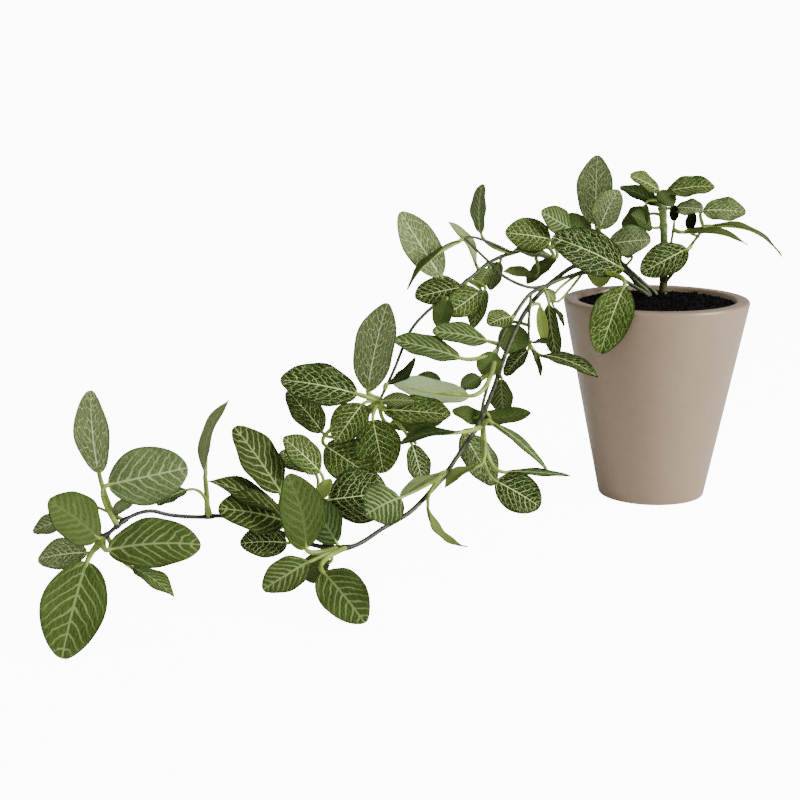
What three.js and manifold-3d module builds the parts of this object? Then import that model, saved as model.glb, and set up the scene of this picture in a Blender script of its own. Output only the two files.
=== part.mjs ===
// Potted trailing nerve plant: a tapered ceramic pot, its soil, and five leafy stems.
// Millimetres, +Z up. The origin is the centre of the pot's underside; +X is to the right
// and +Y points away from the side on which the stems trail.

import * as THREE from 'three';
import { mergeVertices } from 'three/addons/utils/BufferGeometryUtils.js';
import Module from 'manifold-3d';

// Driving dimensions.
const POT = {
  height: 140,
  topRadius: 65,
  baseRadius: 37,
  wall: 9.6,
  floor: 8,
  lipRound: 2.4,
  footRound: 1.2,
  sides: 44,
};

const SOIL = {
  gap: 0.3,
  edgeDepth: 3.4,
  crown: 3,
  bump: 1.3,
  rings: [0.28, 0.55, 0.8, 0.95],
  sides: 22,
  seed: 7,
};

const ROOT = {
  depth: 26,
  collar: 2.5,
  steps: 6,
  clearance: 0.3,
  sway: 0.8,
};

const LEAF = {
  thickness: 0.7,
  petiole: 0.95,
  fold: 0.16,
  bow: 0.05,
  roundness: 0.58,
  steep: 56,
  slender: 0.95,
  fullest: 0.97,
  blunt: 0.13,
  sharp: 0.05,
  rows: [0.16, 0.38, 0.64, 0.87],
  shortRows: [0.2, 0.5, 0.82],
  short: 34,
  shortPetiole: 13,
  neck: 3,
};

const STEM_SIDES = 6;
const STEM_STEP = 15;

// The stems grow freely, so they are set out by sight, as on a tracing screen. The screen is
// square to the line of sight of an eye that looks past the pot. A place is written
// [across, down, y]: millimetres from the screen's top left corner, and the place's own y.
const SCREEN = {
  eye: new THREE.Vector3(-179, -1228, 334),
  pitch: 12.26,
  distance: 1778,
  middle: 400,
};

// A leaf is written [base, tip, width, turn, bow, joint]. Its face looks at the eye, turned
// about the midrib by `turn` degrees, upwards where that is above zero. The midrib bows
// towards the face by `bow` of its length. The petiole starts on the nearest shoot, or at
// the place `joint`.
const STEMS = [
  {
    name: 'tuft_stem',
    colour: 0x4f6b2c,
    root: [9, 30],
    thick: 6,
    shoots: [
      { thick: 6, route: [[664, 270, 28], [664, 240, 26], [663, 216, 26], [662, 194, 25]] },
      { thick: 2.4, route: [[664, 284, 28], [675, 270, 24], [690, 247, 20], [704, 228, 18]] },
      { thick: 2.2, route: [[664, 284, 28], [669, 264, 20], [671, 244, 18], [674, 226, 18]] },
    ],
    leaves: [
      [[659, 191, 24], [630, 176, 12], 18, 54],
      [[661, 193, 23], [715, 187, 16], 22, 50],
      [[659, 206, 30], [620, 187, 42], 15, 50],
      [[659, 191, 20], [673, 206, 12], 15, 36],
      [[646, 204, 20], [645, 227, 16], 8, 30],
      [[652, 227, 20], [631, 215, 8], 16, 42],
      [[676, 208, 22], [703, 210, 8], 16, 45],
      [[703, 211, 18], [746, 213, 10], 22, 42],
      [[708, 226, 22], [782, 257, 30], 14, 82, 0.16],
      [[682, 232, 14], [748, 245, 16], 16, 74, 0.1],
      [[689, 230, 18], [694, 212, 16], 8, 10],
      [[674, 223, 20], [675, 205, 18], 7, 10],
      [[687, 249, 6], [641, 274, -6], 25, 20],
      [[650, 214, 36], [622, 226, 52], 20, 40],
    ],
  },
  {
    name: 'crown_stem',
    colour: 0x53702f,
    root: [2, 17],
    thick: 3,
    shoots: [
      { thick: 3, route: [[645, 284, 16], [625, 266, 14], [608, 250, 14], [598, 228, 16]] },
    ],
    leaves: [
      [[596, 225, 22], [598, 155, 22], 29, 28],
      [[599, 231, 10], [619, 190, 6], 22, 24],
      [[603, 245, 16], [651, 240, -2], 24, 26],
      [[632, 256, 16], [621, 246, 10], 9, 20],
      [[604, 262, 12], [599, 287, 8], 20, 30],
      [[589, 242, 24], [566, 215, 24], 20, 35],
      [[616, 256, 30], [640, 244, 48], 20, 50],
    ],
  },
  {
    name: 'front_stem',
    colour: 0x4d6a2a,
    root: [-5, 5],
    thick: 3,
    shoots: [
      {
        thick: 2.8,
        route: [[634, 286, 0], [612, 275, -8], [588, 272, -18], [564, 278, -30],
          [546, 286, -42], [530, 294, -54], [515, 314, -68], [505, 330, -80],
          [497, 350, -93], [492, 372, -107], [486, 392, -120], [482, 410, -131],
          [483, 426, -140]],
      },
      { thick: 2, route: [[531, 294, -54], [529, 318, -58], [529, 344, -62]] },
      { thick: 2.2, route: [[546, 286, -42], [528, 287, -54], [505, 277, -56], [487, 260, -50],
        [464, 238, -44]] },
    ],
    leaves: [
      [[621, 268, -16], [552, 237, -38], 30, 12, 0.07],
      [[624, 287, -50], [600, 354, -72], 28, 10, 0.08],
      [[515, 316, -72], [488, 325, -84], 18, 40],
      [[506, 326, -42], [520, 356, -54], 21, 8],
      [[528, 350, -64], [505, 376, -68], 15, 45],
      [[495, 347, -96], [485, 377, -104], 17, 5],
      [[490, 421, -144], [549, 473, -146], 10, 58],
      [[504, 472, -150], [571, 476, -148], 9, 60, 0.02],
      [[496, 481, -154], [540, 507, -158], 25, 8, 0.08],
      [[460, 432, -156], [399, 445, -184], 15, 66, 0.06],
      [[478, 466, -158], [445, 488, -178], 13, 60, 0.1],
      [[549, 304, -46], [558, 358, -48], 14, 32],
      [[540, 306, -50], [545, 344, -54], 8, 20],
      [[540, 355, -62], [599, 378, -84], 17, 56, 0.07],
      [[532, 342, -63], [549, 343, -74], 9, 66],
      [[531, 346, -64], [541, 377, -66], 9, 66],
      [[555, 301, -34], [545, 290, -46], 8, 30, 0.05, [582, 272, -20]],
      [[554, 307, -32], [564, 327, -34], 7, 64, 0.05, [578, 273, -22]],
      [[487, 341, -88], [432, 332, -98], 20, 46, 0.03],
      [[460, 358, -104], [392, 340, -108], 21, 46, 0.02, [496, 352, -94]],
      [[469, 396, -126], [393, 384, -136], 24, 50, -0.05, [496, 362, -101]],
      [[441, 390, -116], [417, 376, -114], 15, 20, 0.05, [493, 372, -107]],
      [[480, 377, -108], [461, 388, -118], 12, 20],
    ],
  },
  {
    name: 'long_stem',
    colour: 0x47602a,
    root: [-3, 12],
    thick: 3.2,
    shoots: [
      {
        thick: 3.2,
        route: [[637, 282, 8], [620, 268, 3], [598, 264, -2], [575, 266, -8],
          [558, 277, -18], [545, 288, -28], [530, 305, -42], [519, 323, -56],
          [505, 355, -75], [495, 385, -96], [487, 405, -110], [478, 425, -124],
          [465, 445, -140], [455, 460, -150], [445, 475, -162], [430, 492, -176],
          [410, 512, -190], [385, 527, -205], [350, 547, -226], [318, 546, -226],
          [285, 534, -224], [250, 522, -228], [222, 516, -237], [200, 517, -248],
          [170, 515, -266], [150, 511, -274], [128, 518, -288], [103, 538, -300]],
      },
    ],
    leaves: [
      [[501, 371, -93], [505, 416, -97], 19, 38],
      [[463, 434, -122], [493, 486, -138], 24, 30],
      [[474, 420, -112], [531, 413, -118], 18, 54, -0.03],
      [[489, 420, -112], [452, 411, -116], 18, 54, -0.03],
      [[428, 505, -186], [468, 547, -200], 14, 70, -0.2, [443, 479, -164]],
      [[400, 498, -214], [366, 515, -226], 28, 16, 0.05, [444, 470, -160]],
      [[441, 473, -166], [398, 502, -206], 13, 58, 0.05, [448, 470, -160]],
      [[328, 500, -206], [389, 493, -196], 34, 8, 0.1, [324, 545, -228]],
      [[320, 501, -222], [331, 479, -218], 10, 40, 0.1, [326, 545, -232]],
      [[283, 515, -232], [208, 481, -242], 25, 60],
      [[283, 521, -238], [218, 509, -254], 28, 34],
      [[287, 543, -238], [240, 544, -248], 20, 20],
      [[280, 492, -222], [234, 427, -224], 27, 34],
      [[306, 548, -240], [288, 474, -254], 28, 20, 0.08, [340, 546, -228]],
      [[338, 545, -226], [308, 500, -228], 24, 30],
      [[309, 562, -248], [263, 590, -262], 21, 22, 0.06, [346, 548, -229]],
      [[323, 572, -260], [365, 623, -291], 27, 8, 0.06, [346, 548, -229]],
      [[330, 562, -230], [304, 573, -216], 18, 20],
      [[320, 472, -214], [283, 438, -218], 22, 38],
      [[312, 470, -204], [280, 452, -196], 20, 38],
      [[112, 512, -284], [134, 502, -292], 9, 40],
      [[99, 473, -268], [91, 390, -272], 22, 30, 0.05, [112, 524, -292]],
      [[108, 485, -292], [188, 468, -284], 33, 14, 0.06, [116, 522, -292]],
      [[187, 490, -262], [157, 505, -268], 12, 54, 0.05, [222, 515, -248]],
      [[205, 477, -250], [229, 400, -246], 18, 68, 0.12, [216, 516, -249]],
      [[87, 562, -308], [62, 659, -341], 35, 6, 0.05],
      [[108, 550, -308], [201, 545, -302], 29, 22, 0.06],
      [[131, 567, -296], [174, 597, -306], 18, 58],
      [[102, 541, -302], [48, 501, -314], 28, 24],
      [[91, 505, -290], [66, 501, -294], 11, 42, 0.05, [122, 520, -290]],
      [[72, 519, -284], [33, 532, -288], 15, 45],
      [[87, 553, -292], [38, 560, -292], 20, 34],
    ],
  },
  {
    name: 'back_stem',
    colour: 0x4a662a,
    root: [-8, 28],
    thick: 2.8,
    shoots: [
      {
        thick: 2.6,
        route: [[628, 274, 30], [602, 258, 26], [576, 248, 14], [552, 247, 0], [520, 251, -10],
          [492, 261, -20], [468, 280, -34], [446, 297, -48], [429, 310, -62],
          [411, 330, -84], [394, 370, -124], [379, 402, -150]],
      },
      { thick: 2.2, route: [[512, 253, -13], [500, 247, -20], [486, 241, -28], [472, 237, -34],
        [463, 238, -37]] },
    ],
    leaves: [
      [[604, 262, 34], [572, 260, 48], 22, 40],
      [[570, 229, 6], [541, 212, -10], 20, 25],
      [[555, 240, -2], [505, 233, -14], 25, 20],
      [[553, 257, -6], [512, 251, -18], 18, 62],
      [[556, 258, -2], [527, 284, -8], 14, 48],
      [[536, 276, -10], [503, 272, -22], 13, 56],
      [[481, 233, -24], [483, 184, -22], 16, 50, 0.08, [512, 252, -13]],
      [[441, 277, -40], [400, 212, -40], 25, 14],
      [[470, 286, -38], [415, 298, -52], 24, 36],
      [[480, 291, -40], [447, 315, -60], 21, 10],
      [[447, 299, -58], [440, 329, -66], 15, 25],
      [[485, 290, -42], [474, 328, -58], 15, 35],
      [[482, 274, -26], [448, 222, -32], 17, 68, 0.1],
      [[461, 240, -40], [407, 290, -64], 15, 78, 0.1],
      [[492, 266, -26], [478, 288, -36], 14, 30],
      [[500, 262, -14], [490, 290, -16], 16, 40],
      [[384, 410, -154], [451, 415, -164], 24, 42, 0],
      [[390, 424, -146], [444, 419, -150], 18, 46, -0.06],
      [[386, 384, -142], [415, 357, -136], 12, 58, -0.18],
      [[382, 401, -155], [414, 401, -160], 10, 20],
      [[368, 391, -148], [388, 303, -148], 29, 30],
      [[357, 394, -156], [280, 380, -164], 28, 24, 0.03],
      [[322, 432, -146], [287, 391, -142], 22, 30, 0.05, [372, 404, -148]],
      [[363, 404, -156], [336, 442, -172], 23, 20],
      [[373, 420, -160], [384, 473, -170], 30, 14],
      [[326, 446, -158], [371, 476, -172], 28, 10, 0.06, [366, 412, -152]],
      [[412, 445, -164], [423, 485, -170], 17, 32, 0.05],
      [[415, 441, -160], [408, 431, -162], 6, 20],
    ],
  },
];

const wasm = await Module();
wasm.setup();

const UP = new THREE.Vector3(-0.2, 0, 1).normalize();

function sight([across, down, y]) {
  const pitch = THREE.MathUtils.degToRad(SCREEN.pitch);
  const forward = new THREE.Vector3(0, Math.cos(pitch), -Math.sin(pitch));
  const upward = new THREE.Vector3(0, Math.sin(pitch), Math.cos(pitch));
  const ray = forward.multiplyScalar(SCREEN.distance);
  ray.addScaledVector(upward, SCREEN.middle - down);
  ray.x += across - SCREEN.middle;
  const reach = (y - SCREEN.eye.y) / ray.y;
  return SCREEN.eye.clone().addScaledVector(ray, reach);
}

// Solids.

function toManifold(geometry) {
  const bare = geometry.clone();
  bare.deleteAttribute('normal');
  bare.deleteAttribute('uv');
  const merged = mergeVertices(bare, 1e-4);
  const solid = new wasm.Mesh({
    numProp: 3,
    vertProperties: new Float32Array(merged.attributes.position.array),
    triVerts: new Uint32Array(merged.index.array),
  });
  return new wasm.Manifold(solid);
}

function toGeometry(manifold) {
  const mesh = manifold.getMesh();
  const geometry = new THREE.BufferGeometry();
  geometry.setAttribute('position', new THREE.BufferAttribute(mesh.vertProperties, 3));
  geometry.setIndex(new THREE.BufferAttribute(mesh.triVerts, 1));
  geometry.computeVertexNormals();
  return geometry;
}

// The main body alone: pockets that crossing blades seal are filled, and scraps are dropped.
function largest(manifold) {
  return manifold.decompose().sort((a, b) => b.volume() - a.volume())[0];
}

// A skin over loops that all have the same number of points, closed by a fan at each end.
// The under half of each loop is split along the other diagonal, so that both faces of a
// blade bend along the same lines.
function loft(loops) {
  const count = loops[0].length;
  const points = loops.flat();
  const faces = [];
  for (let row = 0; row + 1 < loops.length; row += 1) {
    for (let i = 0; i < count; i += 1) {
      const a = row * count + i;
      const b = row * count + ((i + 1) % count);
      if (i < count / 2) {
        faces.push(a, b, b + count, a, b + count, a + count);
      } else {
        faces.push(a, b, a + count, b, b + count, a + count);
      }
    }
  }
  const last = (loops.length - 1) * count;
  for (let i = 1; i + 1 < count; i += 1) {
    faces.push(0, i + 1, i);
    faces.push(last, last + i, last + i + 1);
  }
  const geometry = new THREE.BufferGeometry().setFromPoints(points);
  geometry.setIndex(faces);
  return geometry;
}

// The six points of a section: over, along and under the blade from its left edge.
function section(centre, side, normal, { half, raise, thick, edge }) {
  const marks = [[-1, raise, edge], [0, 0, thick], [1, raise, edge]];
  const over = marks.map(([s, lift, t]) => [s * half, lift + t]);
  const under = marks.map(([s, lift, t]) => [s * half, lift - t]).reverse();
  return [...over, ...under].map(([s, n]) => centre.clone()
    .addScaledVector(side, s)
    .addScaledVector(normal, n));
}

// A leaf that is turned steeply to the eye is one that has curled, so it is drawn slender.
function halfWidth(t, wide, turn) {
  const slender = turn >= LEAF.steep;
  if (t === 1) {
    return wide * (slender ? LEAF.sharp : LEAF.blunt);
  }
  const roundness = slender ? LEAF.slender : LEAF.roundness;
  return 0.5 * wide * Math.sin(Math.PI * t ** LEAF.fullest) ** roundness;
}

function leafFrame(base, tip, turn) {
  const axis = tip.clone().sub(base).normalize();
  const look = SCREEN.eye.clone().sub(base);
  const facing = look.addScaledVector(axis, -look.dot(axis)).normalize();
  const side = axis.clone().cross(facing).normalize();
  const skyward = side.dot(UP) < 0 ? -1 : 1;
  const angle = THREE.MathUtils.degToRad(turn);
  const normal = facing.clone().multiplyScalar(Math.cos(angle));
  normal.addScaledVector(side, skyward * Math.sin(angle));
  return { axis, normal, side: axis.clone().cross(normal).normalize() };
}

function nearest(point, paths) {
  let best = null;
  let least = Infinity;
  for (const path of paths) {
    for (const place of path.getSpacedPoints(160)) {
      const gap = place.distanceTo(point);
      if (gap < least) {
        least = gap;
        best = place;
      }
    }
  }
  return best;
}

function leafSolid([basePlace, tipPlace, wide, turn, bow = LEAF.bow, joint], paths) {
  const base = sight(basePlace);
  const tip = sight(tipPlace);
  const start = nearest(joint ? sight(joint) : base, paths);
  const { axis, normal, side } = leafFrame(base, tip, turn);
  const ahead = base.clone().sub(start).dot(axis);
  if (ahead < LEAF.neck && base.distanceTo(start) < 2 * LEAF.neck) {
    base.addScaledVector(axis, LEAF.neck - ahead);
  }
  const length = base.distanceTo(tip);
  const crest = base.clone().lerp(tip, 0.5).addScaledVector(normal, 2 * bow * length);
  const midrib = new THREE.QuadraticBezierCurve3(base, crest, tip);
  const reach = start.distanceTo(base);
  const lead = base.clone().addScaledVector(midrib.getTangent(0), -0.35 * reach);
  const stalk = new THREE.QuadraticBezierCurve3(start, lead, base);
  const small = length < LEAF.short;

  const petiole = { half: LEAF.petiole, raise: 0, thick: LEAF.petiole, edge: LEAF.petiole / 2 };
  const loops = [];
  const across = side.clone();
  for (const t of reach < LEAF.shortPetiole ? [1, 0] : [1, 0.6, 0]) {
    const along = stalk.getTangent(t);
    across.addScaledVector(along, -across.dot(along)).normalize();
    const out = across.clone();
    const top = out.clone().cross(along);
    loops.unshift(section(stalk.getPoint(t), out, top, petiole));
  }
  for (const t of [...(small ? LEAF.shortRows : LEAF.rows), 1]) {
    const top = side.clone().cross(midrib.getTangent(t)).normalize();
    const half = halfWidth(t, wide, turn);
    const blade = { half, raise: LEAF.fold * half, thick: LEAF.thickness / 2, edge: LEAF.thickness / 2 };
    loops.push(section(midrib.getPoint(t), side, top, blade));
  }
  return toManifold(loft(loops));
}

function tube(curve, thick, steps) {
  const ring = new THREE.Shape();
  ring.absarc(0, 0, thick / 2, 0, 2 * Math.PI);
  return new THREE.ExtrudeGeometry(ring, {
    curveSegments: STEM_SIDES / 2,
    steps,
    extrudePath: curve,
  });
}

function rootPoints([x, y]) {
  const rise = (ROOT.depth + ROOT.collar) / ROOT.steps;
  const foot = POT.height - ROOT.depth;
  return Array.from({ length: ROOT.steps + 1 }, (_, i) => new THREE.Vector3(x, y, foot + i * rise));
}

function stemCurves(stem) {
  return stem.shoots.map((shoot, index) => {
    const points = shoot.route.map(sight);
    const all = index === 0 ? [...rootPoints(stem.root), ...points] : points;
    return new THREE.CatmullRomCurve3(all, false, 'centripetal');
  });
}

function stemSolid(stem) {
  const curves = stemCurves(stem);
  let solid = null;
  curves.forEach((curve, index) => {
    const steps = Math.max(3, Math.round(curve.getLength() / STEM_STEP));
    const piece = toManifold(tube(curve, stem.shoots[index].thick, steps));
    solid = solid ? solid.add(piece) : piece;
  });
  for (const leaf of stem.leaves) {
    solid = solid.add(leafSolid(leaf, curves));
  }
  return toGeometry(largest(solid));
}

// Pot and soil.

function innerRadius(z) {
  const taper = (POT.topRadius - POT.baseRadius) / POT.height;
  return POT.baseRadius + taper * z - POT.wall;
}

function potGeometry() {
  const { height, topRadius, baseRadius, wall, floor, lipRound, footRound, sides } = POT;
  const inner = topRadius - wall;
  const profile = [
    [0, 0],
    [baseRadius - footRound, 0],
    [baseRadius, footRound],
    [topRadius, height - lipRound],
    [topRadius - 0.3 * lipRound, height - 0.3 * lipRound],
    [topRadius - lipRound, height],
    [inner + 0.6 * lipRound, height],
    [inner, height - 0.6 * lipRound],
    [innerRadius(floor), floor],
    [0, floor],
  ];
  const points = profile.map(([r, z]) => new THREE.Vector2(r, z));
  return new THREE.LatheGeometry(points, sides).rotateX(Math.PI / 2);
}

function randomFrom(seed) {
  let state = seed;
  return () => {
    state = (state * 48271) % 2147483647;
    return state / 2147483647;
  };
}

function soilGeometry() {
  const { gap, edgeDepth, crown, bump, rings, sides, seed } = SOIL;
  const edge = POT.height - edgeDepth;
  const low = POT.floor + gap;
  const radius = innerRadius(edge) - gap;
  const profile = [[0, low], [innerRadius(low) - gap, low], [radius, edge]];
  for (const share of [...rings].reverse()) {
    profile.push([share * radius, edge + crown * (1 - share ** 2)]);
  }
  profile.push([0, edge + crown]);
  const points = profile.map(([r, z]) => new THREE.Vector2(r, z));
  const geometry = new THREE.LatheGeometry(points, sides).rotateX(Math.PI / 2);
  geometry.deleteAttribute('normal');
  geometry.deleteAttribute('uv');
  const merged = mergeVertices(geometry, 1e-3);
  const random = randomFrom(seed);
  const place = merged.attributes.position;
  for (let i = 0; i < place.count; i += 1) {
    const lump = bump * (2 * random() - 1);
    const onTop = place.getZ(i) > edge + 0.01;
    place.setZ(i, place.getZ(i) + (onTop ? lump : 0));
  }
  let solid = toManifold(merged);
  for (const stem of STEMS) {
    const root = rootPoints(stem.root);
    const foot = root[0];
    const top = root[root.length - 1];
    const radius = stem.thick / 2 + ROOT.sway;
    const length = top.z + ROOT.depth - foot.z;
    const hole = new THREE.CylinderGeometry(radius, radius, length, 12);
    hole.rotateX(Math.PI / 2);
    hole.translate(foot.x, foot.y, (top.z + ROOT.depth + foot.z) / 2 - ROOT.clearance);
    solid = solid.subtract(toManifold(hole));
  }
  return toGeometry(solid);
}

function named(name, geometry, colour, roughness) {
  const material = new THREE.MeshStandardMaterial({ color: colour, roughness, metalness: 0 });
  const mesh = new THREE.Mesh(geometry, material);
  mesh.name = name;
  return mesh;
}

const plant = new THREE.Group();
plant.add(named('pot', potGeometry(), 0xa8917e, 0.35));
plant.add(named('soil', soilGeometry(), 0x1d1614, 1));
for (const stem of STEMS) {
  plant.add(named(stem.name, stemSolid(stem), stem.colour, 0.5));
}

export default plant;
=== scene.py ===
# %% [markdown]
# # A potted nerve plant
# The plant is a tapered, glazed pot of dark soil with one upright tuft and four stems that
# lean or trail over the rim to the left, all with oval leaves that carry a pale net of
# veins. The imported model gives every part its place. This lesson dresses it: each packed
# part is replaced by a finer piece of the same form, with a finish made of shader nodes.

# %% Load the frame
import math
import random
from collections import namedtuple
from functools import partial

import bpy
import numpy as np
from mathutils import Euler, Matrix, Vector


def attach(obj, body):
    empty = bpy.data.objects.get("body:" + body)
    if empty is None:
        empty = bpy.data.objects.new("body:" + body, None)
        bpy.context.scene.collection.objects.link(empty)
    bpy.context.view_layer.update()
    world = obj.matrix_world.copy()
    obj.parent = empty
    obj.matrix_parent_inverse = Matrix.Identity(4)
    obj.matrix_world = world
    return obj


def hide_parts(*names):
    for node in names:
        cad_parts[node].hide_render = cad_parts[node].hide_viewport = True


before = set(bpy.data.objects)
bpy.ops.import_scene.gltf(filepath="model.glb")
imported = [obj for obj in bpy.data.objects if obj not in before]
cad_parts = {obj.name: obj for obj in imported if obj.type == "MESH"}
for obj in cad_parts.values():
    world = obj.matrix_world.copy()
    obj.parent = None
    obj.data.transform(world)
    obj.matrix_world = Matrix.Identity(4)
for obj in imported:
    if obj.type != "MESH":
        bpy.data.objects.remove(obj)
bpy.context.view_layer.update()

print("packed parts:", ", ".join(sorted(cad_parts)))

# %% [markdown]
# ## The camera
# Trailing stems are easiest to place one by one in the view, so the camera comes first. A long
# lens from about 1.2 m keeps the pot's sides straight and the stems free of wide-angle stretch.
# The camera looks along +Y and a little down, so it sees the soil and the face of most leaves.

# %% Put up the camera
EYE = Vector((-0.179, -1.228, 0.334))
PITCH = math.radians(12.26)
LENS = 80
SENSOR = 36
FRAME_SIDE = 800

bpy.ops.object.camera_add(location=EYE, rotation=(math.radians(90) - PITCH, 0, 0))
camera = bpy.context.object
camera.data.lens = LENS
camera.data.sensor_width = SENSOR
camera.data.clip_start = 0.01
bpy.context.scene.camera = camera
screen_distance = LENS / SENSOR * FRAME_SIDE
print("the view is", round(2 * math.degrees(math.atan(SENSOR / 2 / LENS)), 1), "degrees wide")

# %% [markdown]
# ## Places in the view
# Every place on a stem is written (across, down, y): where it stands in the camera's view,
# counted on an 800 by 800 screen, and how far back it is, in millimetres. One helper turns
# that into a point in metres. This is the way that the imported stems were set out too, so a
# leaf drawn here lies on its packed one.

# %% Turn a place in the view into a point


def seen_at(across, down, y):
    forward = Vector((0, math.cos(PITCH), -math.sin(PITCH)))
    upward = Vector((0, math.sin(PITCH), math.cos(PITCH)))
    ray = forward * screen_distance + upward * (FRAME_SIDE / 2 - down)
    ray.x += across - FRAME_SIDE / 2
    return EYE + ray * ((y / 1000 - EYE.y) / ray.y)


print("mid-view, level with the pot's axis:", seen_at(400, 400, 0))

# %% [markdown]
# ## Small tools for the bench
# Operators work on whatever is selected, so a clean selection is the first habit. The other
# helpers add or join objects, pick edges of a mesh by place instead of clicking on them,
# and finish a piece: it rides with the imported body, stands for its imported part, and takes
# its name.

# %% Selection and finishing helpers


def set_mode(mode):
    bpy.ops.object.mode_set(mode=mode)


def select_only(*objects):
    bpy.ops.object.select_all(action="DESELECT")
    for item in objects:
        item.select_set(True)
    bpy.context.view_layer.objects.active = objects[0]


def add_object(name, data):
    item = bpy.data.objects.new(name, data)
    bpy.context.collection.objects.link(item)
    return item


def join_all(items):
    select_only(*items)
    bpy.ops.object.join()
    return bpy.context.object


def pick_edges(item, wanted):
    """Leaves edit mode with only the edges selected whose two ends pass the test."""
    set_mode("EDIT")
    bpy.ops.mesh.select_all(action="DESELECT")
    bpy.ops.mesh.select_mode(type="EDGE")
    set_mode("OBJECT")
    points = item.data.vertices
    for edge in item.data.edges:
        edge.select = all(wanted(points[corner].co) for corner in edge.vertices)
    set_mode("EDIT")


def finish_piece(item, name, node):
    item.name = name
    item.data.name = name
    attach(item, "root")
    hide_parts(node)
    item.data.calc_loop_triangles()
    print(f"{name}: {len(item.data.loop_triangles)} triangles, for {node}")


# %% [markdown]
# ## Shader helpers
# A node tree written out by hand is long, so helpers do the wiring: they add a node and
# feed its inputs, do a sum, draw a smooth step, mix colours, and set a surface and its
# bump. Colours are given as the eye reads them, from 0 to 255, and turned linear.

# %% Node helpers


def linear(red, green, blue):
    values = []
    for part in (red, green, blue):
        share = part / 255
        values.append(share / 12.92 if share < 0.04045 else ((share + 0.055) / 1.055) ** 2.4)
    return (*values, 1)


def feed(tree, socket, value):
    if isinstance(value, bpy.types.NodeSocket):
        tree.links.new(value, socket)
    else:
        socket.default_value = value


def add_node(tree, kind, inputs=None, **settings):
    node = tree.nodes.new("ShaderNode" + kind)
    for name, value in settings.items():
        setattr(node, name, value)
    for key, value in (inputs or {}).items():
        feed(tree, node.inputs[key], value)
    return node


def work(tree, operation, *values, clamp=False):
    inputs = dict(enumerate(values))
    return add_node(tree, "Math", inputs, operation=operation, use_clamp=clamp).outputs[0]


def times(tree, first, second, clamp=False):
    return work(tree, "MULTIPLY", first, second, clamp=clamp)


def ramp(tree, value, start, end, low=0.0, high=1.0):
    """A smooth step: low up to start, high from end."""
    inputs = {"Value": value, "From Min": start, "From Max": end, "To Min": low, "To Max": high}
    return add_node(tree, "MapRange", inputs, interpolation_type="SMOOTHSTEP").outputs["Result"]


def blend_colour(tree, share, first, second):
    # A mix node has a set of sockets for each type of data. These are the ones for colours.
    return add_node(tree, "Mix", {0: share, 6: first, 7: second}, data_type="RGBA").outputs[2]


def read_mark(tree, name):
    """The three values that each point of the mesh remembers under a name."""
    mark = add_node(tree, "Attribute", attribute_name=name)
    return add_node(tree, "SeparateXYZ", {0: mark.outputs["Vector"]}).outputs


def add_bump(tree, shader, height, strength, distance):
    bump = add_node(tree, "Bump", {"Strength": strength, "Distance": distance, "Height": height})
    feed(tree, shader.inputs["Normal"], bump.outputs[0])


def set_surface(tree, shader, colour, roughness, shine=0.5):
    feed(tree, shader.inputs["Base Color"], colour)
    feed(tree, shader.inputs["Roughness"], roughness)
    shader.inputs["Specular IOR Level"].default_value = shine


def new_material(name, colour):
    material = bpy.data.materials.new(name)
    material.use_nodes = True
    material.diffuse_color = colour
    tree = material.node_tree
    return material, tree, tree.nodes["Principled BSDF"]


def new_group(name, takes, gives):
    """A node group that takes sockets of some kinds and gives plain numbers."""
    group = bpy.data.node_groups.new(name, "ShaderNodeTree")
    for label, kind in takes.items():
        group.interface.new_socket(label, in_out="INPUT", socket_type="NodeSocket" + kind)
    for label in gives:
        group.interface.new_socket(label, in_out="OUTPUT", socket_type="NodeSocketFloat")
    return group, group.nodes.new("NodeGroupInput"), group.nodes.new("NodeGroupOutput")


# %% [markdown]
# ## The effect of flecks
# The glaze, the soil, the leaves and the stems all have small irregular patches of another
# tone. That is one effect in several sizes, so it is a node group: noise in the space of the
# object, cut into soft patches. It gives a mask for colour and a height for bumps.

# %% Build the group for flecks
flecks, flecks_in, flecks_out = new_group(
    "flecks",
    {"Scale": "Float", "Stretch": "Vector", "Low": "Float", "High": "Float"},
    ["Mask", "Height"],
)
fleck_place = add_node(flecks, "TexCoord")
fleck_stretch = add_node(
    flecks,
    "VectorMath",
    {0: fleck_place.outputs["Object"], 1: flecks_in.outputs["Stretch"]},
    operation="MULTIPLY",
)
fleck_noise = add_node(
    flecks,
    "TexNoise",
    {"Vector": fleck_stretch.outputs[0], "Scale": flecks_in.outputs["Scale"],
     "Detail": 4.0, "Roughness": 0.6},
)
fleck_mask = ramp(flecks, fleck_noise.outputs[0], flecks_in.outputs["Low"], flecks_in.outputs["High"])
feed(flecks, flecks_out.inputs["Mask"], fleck_mask)
feed(flecks, flecks_out.inputs["Height"], fleck_noise.outputs[0])


def place_flecks(tree, scale, low, high, stretch=(1, 1, 1)):
    """Gives the mask and the height."""
    inputs = {"Scale": scale, "Stretch": stretch, "Low": low, "High": high}
    return add_node(tree, "Group", inputs, node_tree=flecks).outputs[:2]


# %% [markdown]
# ## The pot
# The real pot is thrown or cast: a plain cone, 140 mm high, with a thick wall and a softly
# rounded lip. Extruding a disc upwards and inwards shows each step: foot, outer wall, lip,
# inner wall and floor. The sharp rims are then bevelled, as a sponge rounds them before
# firing.

# %% Model the pot
POT_HEIGHT = 0.140
POT_TOP = 0.065
POT_FOOT = 0.037
POT_WALL = 0.0096
POT_FLOOR = 0.008
LIP_ROUND = 0.0026
INNER_LIP_ROUND = 0.0015
FOOT_ROUND = 0.0012
FLOOR_ROUND = 0.003
POT_SIDES = 144
WALL_STEPS = 6
INNER_STEPS = (0.100, 0.055, POT_FLOOR)


def pot_inside(height):
    return POT_FOOT + (POT_TOP - POT_FOOT) * height / POT_HEIGHT - POT_WALL


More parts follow.
